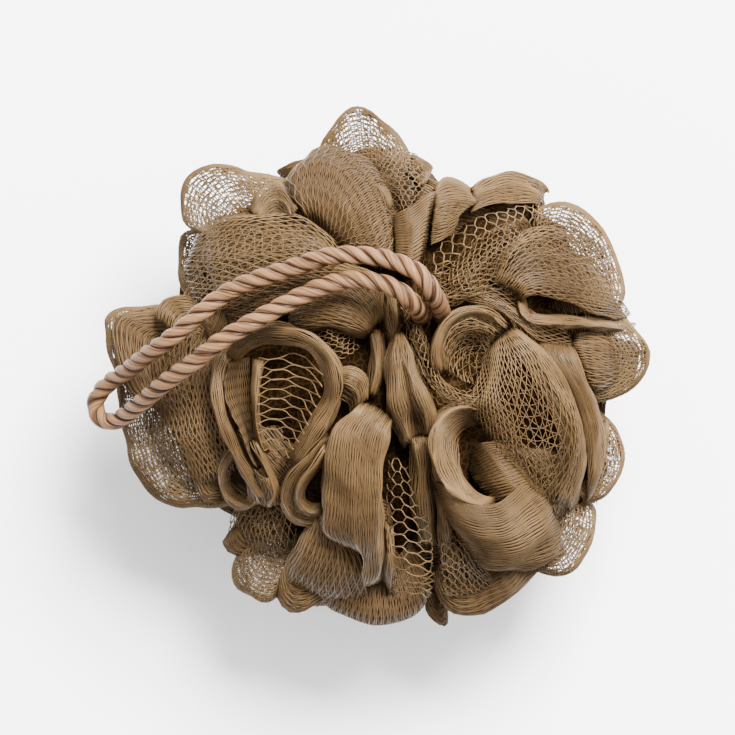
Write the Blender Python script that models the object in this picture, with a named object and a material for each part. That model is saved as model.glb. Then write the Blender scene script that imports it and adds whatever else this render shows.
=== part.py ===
"""A mesh bath pouf, lying on its back: three gathered netting lengths round a waist tie, with a cord loop.

Metres, +Z up. The pouf's gathered centre runs along +Z, its back rests on Z = 0, and the origin is under
the middle of the netting. The netting lengths are plain lobed solids that hold the space of the folds.
"""

import math

import bmesh
import bpy
import numpy as np
from mathutils import Vector

# Driving dimensions.
GATHER_X, GATHER_Y = 0.0142, 0.0135  # the gathered centre, where the hanging cord goes in
DOME_TOP = 0.105  # what the front length's dome would reach over its channel, from the resting face
GAP = 0.0003  # between neighbouring pieces
CORD_DIAMETER = 0.005
CHANNEL_RADIUS = 0.0068  # the open centre of the front length, just wide enough for two runs of cord
TIE_RADIUS, TIE_THICKNESS = 0.0042, 0.003  # the tie's turn, to the middle of its strand
TIE_HEIGHT = 0.050
WAIST_RADIUS = 0.0072  # the middle length's hole, round the tie
REST_SHARE = 0.42  # how much of the back length's reach is pressed flat on the surface
FRONT_PARTING, BACK_PARTING = 0.060, 0.038  # where neighbouring lengths meet, at the gathered centre
PARTING_SLOPE = 0.06  # how fast those meeting surfaces spread towards the rim
ANGLE_STEPS = 96
CORD_POINTS = 76

# Lobes of each netting length: (direction in degrees from +X, reach in millimetres from the centre).
MIDDLE_LOBES = (
    (-2, 57), (10, 53), (27, 52), (44, 44), (53, 46.5), (66, 43), (79, 35), (93, 44), (112, 61.2),
    (132, 54), (151, 75), (168, 69), (186, 88.4), (198, 90), (209, 91), (225, 75), (237, 90.5),
    (249, 83), (261, 84.8), (274, 81), (286, 79.5), (292, 76), (301, 79.5), (312, 68), (323, 67),
    (333, 53), (347, 60.5),
)  # fmt: skip
FRONT_LOBES = (
    (4, 47), (22, 44), (40, 46), (58, 37), (76, 33), (98, 40), (114, 47), (132, 46), (150, 58),
    (168, 58), (188, 74), (208, 72), (226, 63), (242, 70), (256, 66), (272, 70), (288, 63),
    (304, 68), (324, 59), (342, 50),
)  # fmt: skip
BACK_LOBES = (
    (0, 50), (18, 47), (36, 47), (56, 37), (74, 34), (96, 39), (116, 53), (136, 47), (154, 65),
    (174, 61), (196, 78), (214, 72), (236, 77), (254, 69), (272, 73), (288, 67), (306, 71),
    (326, 57), (344, 53),
)  # fmt: skip

# The hanging cord's route in millimetres: up from the tie, over the folds, round the loop's end and back.
CORD_ROUTE = (
    (17.1, 13.4, 52.0), (17.1, 13.5, 66), (17.0, 13.7, 80), (16.5, 15.4, 93), (14.6, 19.2, 104.0),
    (11.2, 24.0, 106.6), (5.9, 27.0, 105.2), (-0.8, 28.9, 103.2), (-11.1, 29.2, 102.2), (-21.1, 26.5, 99.2),
    (-38.9, 20.1, 91.6), (-53.5, 8.5, 87.8), (-61.6, 3.0, 79.4), (-66.7, -0.8, 70.6), (-71.6, -3.8, 64.2),
    (-74.8, -7.0, 60.6), (-76.0, -10.3, 59.2), (-74.8, -13.2, 59.6), (-71.8, -14.6, 61.6),
    (-67.8, -13.0, 66.4), (-64.3, -10.5, 71.8), (-55.9, -3.8, 84.8), (-48.1, 1.6, 92.6), (-38.9, 8.4, 97.8),
    (-19.7, 18.9, 101.4), (-10.3, 22.4, 103.7), (-3.2, 22.8, 105.5), (3.6, 21.0, 106.5), (8.9, 17.2, 103.4),
    (11.0, 14.5, 94), (11.3, 13.6, 81), (11.3, 13.5, 66), (11.3, 13.4, 52.0),
)  # fmt: skip


def clear_objects():
    for old in list(bpy.data.objects):
        bpy.data.objects.remove(old, do_unlink=True)


def material(name, colour, roughness):
    finish = bpy.data.materials.new(name)
    finish.use_nodes = True
    shader = finish.node_tree.nodes["Principled BSDF"]
    shader.inputs["Base Color"].default_value = (*colour, 1.0)
    shader.inputs["Roughness"].default_value = roughness
    shader.inputs["Metallic"].default_value = 0.0
    return finish


def reach_at(angles, lobes):
    """Each direction's reach in metres: the lobes' reaches joined by half cosine waves, all the way round."""
    at = np.array([lobe[0] for lobe in lobes], float)
    reach = np.array([lobe[1] for lobe in lobes], float) / 1000
    at = np.append(at, at[0] + 360)
    reach = np.append(reach, reach[0])
    turned = (np.degrees(angles) - at[0]) % 360 + at[0]
    before = np.clip(np.searchsorted(at, turned, side="right") - 1, 0, len(at) - 2)
    share = (turned - at[before]) / (at[before + 1] - at[before])
    eased = (1 - np.cos(math.pi * share)) / 2
    return reach[before] * (1 - eased) + reach[before + 1] * eased


def parting(radius, height, side, slope):
    """The height of a meeting surface at a distance from the centre, on its upper (+1) or lower (-1) side."""
    return height + slope * radius + side * GAP / 2


def dome(rim, top, share):
    """A quarter ellipse from the top at the centre to the rim's height at the full reach."""
    return rim + (top - rim) * np.sqrt(np.clip(1 - share**2, 0, 1))


def front_rings(angles):
    """The front length's rings, up its channel, over its dome and back along its underside."""
    reach = reach_at(angles, FRONT_LOBES)
    rim = 0.072
    for height in (0.0600 + GAP, 0.078, 0.092):
        yield np.full_like(angles, CHANNEL_RADIUS), np.full_like(angles, height)
    for share in (0.24, 0.38, 0.54, 0.68, 0.80, 0.89, 0.95, 0.985, 1.0):
        radius = reach * share
        sunk = 0.10 * share * (1 - reach / 0.074)
        yield radius, dome(rim, DOME_TOP, share) * (1 - sunk)
    for share in (0.93, 0.75, 0.5):
        radius = reach * share
        yield radius, parting(radius, FRONT_PARTING, 1, PARTING_SLOPE)


def middle_rings(angles):
    """The middle length's rings, up its waist, out along the front length, round its rim and back in."""
    reach = reach_at(angles, MIDDLE_LOBES)
    for side, height, slope in ((1, BACK_PARTING, -PARTING_SLOPE), (-1, FRONT_PARTING, PARTING_SLOPE)):
        radius = np.full_like(angles, WAIST_RADIUS)
        yield radius, parting(radius, height, side, slope)
    for share in (0.35, 0.6, 0.8, 0.91):
        radius = reach * share
        yield radius, parting(radius, FRONT_PARTING, -1, PARTING_SLOPE)
    for share, height in ((0.97, 0.0585), (1.0, 0.050), (0.985, 0.0415)):
        yield reach * share, np.full_like(angles, height)
    for share in (0.91, 0.8, 0.6, 0.35):
        radius = reach * share
        yield radius, parting(radius, BACK_PARTING, 1, -PARTING_SLOPE)


def back_rings(angles):
    """The back length's rings, from its flat resting face round its rim to its upper side."""
    reach = reach_at(angles, BACK_LOBES)
    for share, height in ((REST_SHARE, 0.0), (0.62, 0.0035), (0.8, 0.0095), (0.93, 0.0175), (1.0, 0.0265)):
        yield reach * share, np.full_like(angles, height)
    for share in (0.93, 0.8, 0.5, 0.2):
        radius = reach * share
        yield radius, parting(radius, BACK_PARTING, -1, -PARTING_SLOPE)


def netting_length(name, rings, closed, finish):
    """A solid from rings round the gathered centre, closed on itself or capped by its first and last ring."""
    angles = np.linspace(0, 2 * math.pi, ANGLE_STEPS, endpoint=False)
    bm = bmesh.new()
    loops = []
    for radius, height in rings(angles):
        x = GATHER_X + radius * np.cos(angles)
        y = GATHER_Y + radius * np.sin(angles)
        loops.append([bm.verts.new(point) for point in zip(x, y, height)])
    pairs = list(zip(loops, loops[1:]))
    if closed:
        pairs.append((loops[-1], loops[0]))
    else:
        bm.faces.new(loops[0])
        bm.faces.new(loops[-1])
    for lower, upper in pairs:
        for step in range(ANGLE_STEPS):
            after = (step + 1) % ANGLE_STEPS
            bm.faces.new((lower[step], lower[after], upper[after], upper[step]))
    bmesh.ops.recalc_face_normals(bm, faces=bm.faces)
    return finished_mesh(name, bm, finish)


def finished_mesh(name, bm, finish):
    mesh = bpy.data.meshes.new(name)
    bm.to_mesh(mesh)
    bm.free()
    mesh.materials.append(finish)
    mesh.shade_smooth()
    mesh.set_sharp_from_angle(angle=math.radians(50))
    made = bpy.data.objects.new(name, mesh)
    bpy.context.collection.objects.link(made)
    return made


def binding_tie(finish):
    """The closed turn of cord that gathers the netting at its waist."""
    bpy.ops.mesh.primitive_torus_add(
        location=(GATHER_X, GATHER_Y, TIE_HEIGHT),
        major_radius=TIE_RADIUS,
        minor_radius=TIE_THICKNESS / 2,
        major_segments=36,
        minor_segments=10,
    )
    tie = bpy.context.object
    tie.name = tie.data.name = "binding_tie"
    tie.data.materials.append(finish)
    tie.data.shade_smooth()
    return tie


def smooth_route(points, count):
    """Evenly spaced points on a Catmull-Rom curve through the route's own points."""
    knots = np.array(points, float) / 1000
    ends = (2 * knots[0] - knots[1], 2 * knots[-1] - knots[-2])
    knots = np.vstack((ends[0], knots, ends[1]))
    share = np.linspace(0, 1, 24, endpoint=False)[:, None]
    pieces = []
    for a, b, c, d in zip(knots, knots[1:], knots[2:], knots[3:]):
        bend = (2 * a - 5 * b + 4 * c - d) * share**2 + (3 * b - a - 3 * c + d) * share**3
        pieces.append((2 * b + (c - a) * share + bend) / 2)
    fine = np.vstack((*pieces, knots[-2]))
    along = np.concatenate(([0], np.cumsum(np.linalg.norm(np.diff(fine, axis=0), axis=1))))
    wanted = np.linspace(0, along[-1], count)
    return np.stack([np.interp(wanted, along, fine[:, axis]) for axis in range(3)], axis=1)


def hanging_cord(finish):
    """The doubled cord as one tube along its route, both ends at the tie."""
    curve = bpy.data.curves.new("hanging_cord", "CURVE")
    curve.dimensions = "3D"
    curve.bevel_depth = CORD_DIAMETER / 2
    curve.bevel_resolution = 3
    curve.use_fill_caps = True
    route = smooth_route(CORD_ROUTE, CORD_POINTS)
    spline = curve.splines.new("POLY")
    spline.points.add(len(route) - 1)
    for point, place in zip(spline.points, route):
        point.co = (*Vector(place), 1.0)
    spline.use_smooth = True
    curve.materials.append(finish)
    cord = bpy.data.objects.new("hanging_cord", curve)
    bpy.context.collection.objects.link(cord)
    return cord


def main():
    clear_objects()
    netting_length("netting_front", front_rings, True, material("front_net", (0.33, 0.22, 0.12), 0.45))
    netting_length("netting_middle", middle_rings, True, material("middle_net", (0.30, 0.20, 0.11), 0.45))
    netting_length("netting_back", back_rings, False, material("back_net", (0.27, 0.18, 0.10), 0.45))
    binding_tie(material("tie_cord", (0.30, 0.18, 0.12), 0.5))
    hanging_cord(material("loop_cord", (0.40, 0.23, 0.15), 0.4))


main()
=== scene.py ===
"""A mesh bath pouf: folds of extruded net round a waist tie, with a twisted cord loop on top."""

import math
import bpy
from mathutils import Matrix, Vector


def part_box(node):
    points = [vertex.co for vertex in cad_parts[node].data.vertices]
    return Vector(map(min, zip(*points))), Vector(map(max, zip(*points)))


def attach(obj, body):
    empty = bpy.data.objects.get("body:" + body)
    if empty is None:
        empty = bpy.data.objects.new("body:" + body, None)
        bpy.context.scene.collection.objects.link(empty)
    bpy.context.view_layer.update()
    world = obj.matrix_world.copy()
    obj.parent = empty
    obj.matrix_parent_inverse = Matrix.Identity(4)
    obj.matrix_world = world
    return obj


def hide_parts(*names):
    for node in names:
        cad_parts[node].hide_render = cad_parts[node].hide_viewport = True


bl_info = {
    "name": "Mesh Bath Pouf",
    "version": (1, 0, 0),
    "blender": (4, 5, 0),
    "location": "View3D > Sidebar > Pouf",
    "description": "Builds a mesh bath pouf from folds of net, a twisted cord loop and a studio stage",
    "category": "Object",
}

import bpy
import numpy as np
from bpy.props import FloatProperty, FloatVectorProperty, IntProperty, PointerProperty

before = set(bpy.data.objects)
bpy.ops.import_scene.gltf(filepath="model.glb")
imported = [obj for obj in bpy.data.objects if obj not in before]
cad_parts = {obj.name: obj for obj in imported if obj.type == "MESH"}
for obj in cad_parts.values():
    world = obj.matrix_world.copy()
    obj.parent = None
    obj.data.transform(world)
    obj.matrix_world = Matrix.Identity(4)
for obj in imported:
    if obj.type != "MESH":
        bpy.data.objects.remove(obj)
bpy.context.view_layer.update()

MM = 0.001
TIE_LOW, TIE_HIGH = (np.array(corner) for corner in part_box("binding_tie"))
GATHER = (TIE_LOW + TIE_HIGH) / 2  # the gathered centre of the pouf
UP = np.array((0.0, 0.0, 1.0))
TUBE_SIDES = 3  # sides of a net strand
SEED = 41

# The front's surface, in millimetres: a half ball over the waist, which the folds rise from.
BALL_WIDE, BALL_DEEP, BALL_RISE = 75, 72, 50
WAIST_HEIGHT = 48
LOWEST_FOLD = 47  # the front folds' ends stay above this height
END_DROP = 4.5  # how far the folds' ends turn down

# A lip's rails: share of its width beside the edge, and share of its depth below it.
LIP_SHAPE = ((-0.9, 1.1), (-0.25, 0.25), (0.0, 0.0), (0.3, 0.1), (0.7, 0.45), (1.0, 1.0))

# The net, in metres.
TANGLE_DEPTH = 0.0026  # how far the crossing layer lies under an open net
TANGLE_THICKNESS = 0.75  # its strands' thickness, as a share of the usual
FINE_THICKNESS, FINE_INSET = 0.00022, 0.00012  # the fine net under the strands

# The cord's strands: radius as a share of the cord's thickness, and how much wider across than out.
STRAND_SHARE, EGG = 0.245, 1.14

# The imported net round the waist, in metres.
CORE_HEIGHT, CORE_RISE, CORE_REACH = 0.046, 0.039, 0.75
CORE_DIMPLE, CORE_DIMPLE_WIDTH = 0.016, 0.014

# The studio: each light's name, place, size and power, then the view.
LIGHTS = (
    ("key", (0.3, 0.6, 1.1), 0.5, 118.0),
    ("fill", (0.7, 0.1, 0.9), 1.0, 9.0),
    ("front", (-0.8, 0.0, 0.8), 1.0, 8.0),
)
FLOOR_SIZE, FLOOR_GAP = 6.0, 0.0002
AIR_STRENGTH = 1.05
SENSOR_WIDTH = 36.0
VIEW_MIDDLE, RIM_HEIGHT = -0.0027, 0.055

# Reach of the folds from the gathered centre: (direction in degrees from +X, millimetres).
RIM_LOBES = (
    (-2, 57), (10, 53), (27, 52), (44, 44), (53, 46.5), (66, 43), (79, 35), (93, 44), (112, 61),
    (132, 54), (151, 75), (168, 69), (186, 88), (198, 90), (209, 91), (225, 75), (237, 90.5),
    (249, 83), (261, 84.8), (274, 81), (286, 79.5), (292, 76), (301, 79.5), (312, 68), (323, 67),
    (333, 53), (347, 60.5),
)  # fmt: skip

# The hanging cord's route in millimetres, as the frame holds it.
CORD_ROUTE = (
    (17.1, 13.4, 52.0), (17.1, 13.5, 66), (17.0, 13.7, 80), (16.5, 15.4, 93), (14.6, 19.2, 104.0),
    (11.2, 24.0, 106.6), (5.9, 27.0, 105.2), (-0.8, 28.9, 103.2), (-11.1, 29.2, 102.2), (-21.1, 26.5, 99.2),
    (-38.9, 20.1, 91.6), (-53.5, 8.5, 87.8), (-61.6, 3.0, 79.4), (-66.7, -0.8, 70.6), (-71.6, -3.8, 64.2),
    (-74.8, -7.0, 60.6), (-76.0, -10.3, 59.2), (-74.8, -13.2, 59.6), (-71.8, -14.6, 61.6),
    (-67.8, -13.0, 66.4), (-64.3, -10.5, 71.8), (-55.9, -3.8, 84.8), (-48.1, 1.6, 92.6), (-38.9, 8.4, 97.8),
    (-19.7, 18.9, 101.4), (-10.3, 22.4, 103.7), (-3.2, 22.8, 105.5), (3.6, 21.0, 106.5), (8.9, 17.2, 103.4),
    (11.0, 14.5, 94), (11.3, 13.6, 81), (11.3, 13.5, 66), (11.3, 13.4, 52.0),
)  # fmt: skip


# Shapes ------------------------------------------------------------------------------------------


def spline(points, count, steps=24):
    """Evenly spaced points on a Catmull-Rom curve: each stretch bends by the slope between its neighbours."""
    knots = np.asarray(points, float)
    knots = np.vstack((2 * knots[0] - knots[1], knots, 2 * knots[-1] - knots[-2]))
    a, b, c, d = (knots[i : len(knots) - 3 + i, None, :] for i in range(4))
    x = np.linspace(0, 1, steps, endpoint=False)[None, :, None]
    bend = (2 * a - 5 * b + 4 * c - d) * x**2 + (3 * b - a - 3 * c + d) * x**3
    fine = ((2 * b + (c - a) * x + bend) / 2).reshape(-1, knots.shape[1])
    return respaced(np.vstack((fine, knots[-2])), count)


def respaced(line, count):
    """The same line with its points at even distances."""
    along = np.concatenate(([0], np.cumsum(np.linalg.norm(np.diff(line, axis=0), axis=1))))
    wanted = np.linspace(0, along[-1], count)
    return np.stack([np.interp(wanted, along, line[:, axis]) for axis in range(line.shape[1])], axis=1)


def unit(vectors):
    """The same directions, each with a length of one."""
    return vectors / np.maximum(np.linalg.norm(vectors, axis=-1, keepdims=True), 1e-12)


def through_rails(rails, across, slack=0.62):
    """A surface that passes through rails, each a row of points. A cubic crosses them at each step along,
    and its slope at a rail is a share of the slope between the rails beside it, so edges stay crisp.
    Returns rows across by steps along."""
    rails = np.asarray(rails, float)
    knots = np.concatenate((2 * rails[:1] - rails[1:2], rails, 2 * rails[-1:] - rails[-2:-1]))
    place = np.linspace(0, len(rails) - 1 - 1e-9, across)
    cell = place.astype(int)
    x = (place - cell)[:, None, None]
    a, b, c, d = (knots[cell + i] for i in range(4))
    start, end = (c - a) / 2 * slack, (d - b) / 2 * slack
    rise = b * (2 * x**3 - 3 * x**2 + 1) + c * (3 * x**2 - 2 * x**3)
    return rise + start * (x**3 - 2 * x**2 + x) + end * (x**3 - x**2)


def surface_normals(grid):
    """Unit normals of a grid of points: the cross product of its two slopes."""
    return unit(np.cross(np.gradient(grid, axis=1), np.gradient(grid, axis=0)))


def look_up(grid, row, column):
    """Values of a grid at fractional places from 0 to 1 each way, blended from the four nearest."""
    rows, columns = grid.shape[:2]
    r = np.clip(row, 0, 1) * (rows - 1)
    c = np.clip(column, 0, 1) * (columns - 1)
    r0 = np.minimum(r.astype(int), rows - 2)
    c0 = np.minimum(c.astype(int), columns - 2)
    fr, fc = (r - r0)[..., None], (c - c0)[..., None]
    low = grid[r0, c0] * (1 - fc) + grid[r0, c0 + 1] * fc
    high = grid[r0 + 1, c0] * (1 - fc) + grid[r0 + 1, c0 + 1] * fc
    return low * (1 - fr) + high * fr


def faced_out(grid):
    """The grid, with its columns turned round where its normals would point to the pouf's middle."""
    outwards = (surface_normals(grid) * (grid - (0.0, 0.0, 0.045))).sum() > 0
    return grid if outwards else grid[:, ::-1]


def mean_lengths(grid):
    """The mean length of a grid's rows and of its columns."""
    along = np.linalg.norm(np.diff(grid, axis=1), axis=2).sum(1).mean()
    across = np.linalg.norm(np.diff(grid, axis=0), axis=2).sum(0).mean()
    return float(along), float(across)


def crumpled(grid, amount, seed):
    """The surface pushed in and out by a few waves of random direction, so that it isn't taut."""
    rng = np.random.default_rng(seed)
    directions = unit(rng.normal(size=(7, 3))) * rng.uniform(250, 700, (7, 1))
    phase = rng.uniform(0, 2 * math.pi, 7)
    push = np.sin(grid @ directions.T + phase).sum(-1) / 2.6
    return grid + surface_normals(grid) * (push * amount)[..., None]


def net_on(grid, style, radius, seed):
    """Strands of an extruded net laid along a surface's rows. Each line swings half a spacing to each side
    by a cosine, and its neighbours swing the other way, so they meet at every joint. Clipping the cosine
    gives hexagons. The number of lines stays the same, so the net is closed where it is gathered."""
    rng = np.random.default_rng(seed)
    along, across = mean_lengths(grid)
    lines = max(int(across / style.spacing), 3)
    joints = max(int(along / style.cell), 3)
    joint = np.linspace(0, joints, joints * style.steps + 1)[None, :]
    line = np.arange(lines)[:, None]
    swing = np.clip(np.cos(math.pi * (joint + line)) * style.sharpness, -1, 1) / 2
    wander = np.cumsum(rng.normal(0, 0.12, (lines, 1)), axis=0) * np.sin(math.pi * (line + 0.5) / lines)
    drift = 0.12 * np.sin(joint * rng.uniform(0.25, 0.5) + line * 0.35 + rng.uniform(0, 6))
    row = (line + 0.5 + swing * 0.97 + wander + drift) / lines
    column = (joint + 0.12 * np.sin(joint * 0.7 + line * 0.9)) / joints
    column = np.broadcast_to(column, row.shape)
    centre = look_up(grid, row, column)
    normal = unit(look_up(surface_normals(grid), row, column))
    return tubes(centre, normal, radius)


def tubes(centre, normal, radius):
    """One thin tube along each row of points, with a few sides and closed ends."""
    forward = unit(np.gradient(centre, axis=1))
    sideways = unit(np.cross(forward, normal))
    outward = np.cross(sideways, forward)
    turn = np.arange(TUBE_SIDES) * 2 * math.pi / TUBE_SIDES + math.pi / 2
    ring = np.cos(turn)[:, None] * sideways[:, :, None] + np.sin(turn)[:, None] * outward[:, :, None]
    points = centre[:, :, None] + ring * radius
    lines, steps = centre.shape[:2]
    index = np.arange(lines * steps * TUBE_SIDES).reshape(lines, steps, TUBE_SIDES)
    after = np.roll(index, -1, axis=2)
    quads = np.stack((index[:, :-1], index[:, 1:], after[:, 1:], after[:, :-1]), axis=-1).reshape(-1, 4)
    caps = np.concatenate((index[:, 0], index[:, -1, ::-1]))
    return points.reshape(-1, 3), quads, caps


def closed_tube(points):
    """Rings of points joined into a tube, with each end closed on its ring's middle."""
    rings, sides = points.shape[:2]
    index = np.arange(rings * sides).reshape(rings, sides)
    after = np.roll(index, -1, axis=1)
    quads = np.stack((index[:-1], index[1:], after[1:], after[:-1]), -1).reshape(-1, 4)
    low, high = np.full(sides, index.size), np.full(sides, index.size + 1)
    first = np.stack((index[0], after[0], low), -1)
    last = np.stack((after[-1], index[-1], high), -1)
    middles = np.array((points[0].mean(0), points[-1].mean(0)))
    return np.vstack((points.reshape(-1, 3), middles)), quads, np.concatenate((first, last))


def skin_on(grid, thickness, inset):
    """A thin closed sheet under a surface: the grid moved in along its normals, and again for its back.
    Returns the mesh, and for each corner of its faces its place along and across in millimetres."""
    normal = surface_normals(grid)
    front = grid - normal * inset
    back = front - normal * thickness
    rows, columns = grid.shape[:2]
    index = np.arange(rows * columns).reshape(rows, columns)
    top = np.stack((index[:-1, :-1], index[:-1, 1:], index[1:, 1:], index[1:, :-1]), -1).reshape(-1, 4)
    top = top[:, ::-1]
    under = top[:, ::-1] + rows * columns
    edge = np.concatenate((index[0, :-1], index[:-1, -1], index[-1, :0:-1], index[:0:-1, 0]))
    next_edge = np.roll(edge, -1)
    rim = np.stack((edge, next_edge, next_edge + rows * columns, edge + rows * columns), -1)
    points = np.concatenate((front.reshape(-1, 3), back.reshape(-1, 3)))
    quads = np.concatenate((top, under, rim))
    along, across = mean_lengths(grid)
    u, v = np.meshgrid(np.linspace(0, along / MM, columns), np.linspace(0, across / MM, rows))
    place = np.stack((u, v), -1).reshape(-1, 2)
    return (points, quads, np.zeros((0, 3), int)), np.concatenate((place, place))[quads.ravel()]


def joined(parts):
    """Several sets of points, quads and triangles as one."""
    points, quads, triangles, start = [], [], [], 0
    for part_points, part_quads, part_triangles in parts:
        points.append(part_points)
        quads.append(part_quads + start)
        triangles.append(part_triangles + start)
        start += len(part_points)
    return np.concatenate(points), np.concatenate(quads), np.concatenate(triangles)


def new_piece(name, part, material):
    """A mesh object from points, quads and triangles, shaded smooth, riding on the pouf."""
    points, quads, triangles = part
    mesh = bpy.data.meshes.new(name)
    mesh.vertices.add(len(points))
    mesh.vertices.foreach_set("co", np.ascontiguousarray(points, dtype=np.float32).ravel())
    corners = np.concatenate((quads.ravel(), triangles.ravel())).astype(np.int32)
    first = np.concatenate((np.arange(len(quads)) * 4, quads.size + np.arange(len(triangles)) * 3))
    starts = first.astype(np.int32)
    mesh.loops.add(len(corners))
    mesh.loops.foreach_set("vertex_index", corners)
    mesh.polygons.add(len(starts))
    mesh.polygons.foreach_set("loop_start", starts)
    mesh.update(calc_edges=True)
    mesh.shade_smooth()
    mesh.materials.append(material)
    made = bpy.data.objects.new(name, mesh)
    bpy.context.collection.objects.link(made)
    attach(made, "root")
    return made


# Folds -------------------------------------------------------------------------------------------


def reach_at(angles):
    """How far the folds reach in each direction: the lobes joined by half cosine waves, all the way round."""
    at = np.array([lobe[0] for lobe in RIM_LOBES] + [RIM_LOBES[0][0] + 360], float)
    reach = np.array([lobe[1] for lobe in RIM_LOBES] + [RIM_LOBES[0][1]], float) * MM
    turned = (np.degrees(angles) - at[0]) % 360 + at[0]
    before = np.clip(np.searchsorted(at, turned, side="right") - 1, 0, len(at) - 2)
    eased = (1 - np.cos(math.pi * (turned - at[before]) / (at[before + 1] - at[before]))) / 2
    return reach[before] * (1 - eased) + reach[before + 1] * eased


def smooth_noise(x, rng, waves):
    """A wave sum that joins up after a full turn, from about -1 to 1."""
    total = sum(rng.normal() * np.cos(n * x + rng.uniform(0, 2 * math.pi)) for n in waves)
    return total / math.sqrt(len(waves))


def on_ball(points):
    """Places in metres from (x, y, rise) in millimetres: the rise is over the ball that the folds fill."""
    points = np.asarray(points, float)
    inside = np.clip(1 - (points[:, 0] / BALL_WIDE) ** 2 - (points[:, 1] / BALL_DEEP) ** 2, 0, 1)
    height = WAIST_HEIGHT + BALL_RISE * np.sqrt(inside) + points[:, 2]
    return np.stack((points[:, 0], points[:, 1], np.maximum(height, 1.0)), axis=1) * MM


def lip(edge, lean, wide=3.6, deep=10.0):
    """Rails of a thin lip, from its edge line: a steep wall outside, then a slope that goes down inside.
    The slope's rails lie beside the edge, square to it in plan, to the left where lean is 1."""
    line = np.asarray(edge, float)
    forward = np.gradient(line[:, :2], axis=0)
    beside = unit(np.stack((-forward[:, 1], forward[:, 0]), 1)) * lean
    rails = []
    for out, drop in LIP_SHAPE:
        moved = beside * (out * (wide if out > 0 else 1.0))
        rails.append(np.column_stack((line[:, :2] + moved, line[:, 2] - drop * deep)))
    return rails


def fold_grid(rails, over, seed, across=36, steps=72):
    """A fold's surface through its rails, each smoothed along its own points. Its ends turn down by a cube
    of the last share of its length. Its rows run as the strands do: along the rails, or over them."""
    smooth = [spline(on_ball(rail), steps) for rail in rails]
    grid = crumpled(through_rails(smooth, across), 0.45 * MM, seed)
    end = np.clip(np.abs(np.linspace(-1, 1, steps)) - 0.84, 0, 1) / 0.16
    grid[..., 2] = np.maximum(grid[..., 2] - END_DROP * MM * end**3, LOWEST_FOLD * MM)
    return faced_out(grid.transpose(1, 0, 2) if over else grid)


def lobe_grid(rim, height, root, swell, seed, across=34, steps=90):
    """A lobe of the outline: two layers that leave its root, swell apart by a half sine and meet at its
    rim, the lower one tucked down at its root. Rows are bands that run the same way as the rim."""
    rng = np.random.default_rng(seed)
    line = spline(np.array([(x, y, height) for x, y in rim], float), steps)
    line[:, 2] += 2.0 * np.sin(np.linspace(0, math.pi * rng.uniform(1.5, 2.5), steps) + rng.uniform(0, 6))
    share = np.linspace(-1, 1, across)[:, None, None]
    out = 1 - np.abs(share) ** 1.25
    root = np.asarray(root, float) + (line - line.mean(0)) * 0.22
    layer = np.sin(math.pi * np.clip(np.abs(share), 0, 1) ** 0.62) * np.sign(share)
    grid = root + (line - root) * out + UP * layer * swell
    tuck = 16 * np.sin(np.linspace(0, math.pi, steps))
    grid[..., 2] -= tuck * (1 - out[..., 0]) * (share[..., 0] < 0)
    return faced_out(crumpled(grid * MM, 0.5 * MM, seed))


def packed_rings(rings=41, sides=144):
    """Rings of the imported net, from the lowest up: a ball by sine and cosine of its rise, folded round by
    two waves, with a dimple by a bell curve where the cord goes in."""
    turn = np.linspace(0, 2 * math.pi, sides + 1)[:-1]
    rise = np.linspace(-1.35, 1.25, rings)[:, None]
    fold = 1 + 0.05 * np.cos(23 * turn + 2 * np.sin(3 * turn)) + 0.03 * np.cos(41 * turn)
    radial = reach_at(turn) * CORE_REACH * np.cos(rise * 0.98) * fold
    dimple = CORE_DIMPLE * np.exp(-((radial / CORE_DIMPLE_WIDTH) ** 2)) * (rise > 0)
    east = GATHER[0] + radial * np.cos(turn)
    north = GATHER[1] + radial * np.sin(turn)
    height = CORE_HEIGHT + CORE_RISE * np.sin(rise) - dimple
    return np.stack((east, north, height), -1)[:, ::-1]


def smooth_reach(angles, window=math.radians(20)):
    """The folds' reach with its notches evened out: the mean over a window of directions."""
    offsets = np.linspace(-window, window, 9)
    return np.mean([reach_at(angles + offset) for offset in offsets], axis=0)


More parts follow.
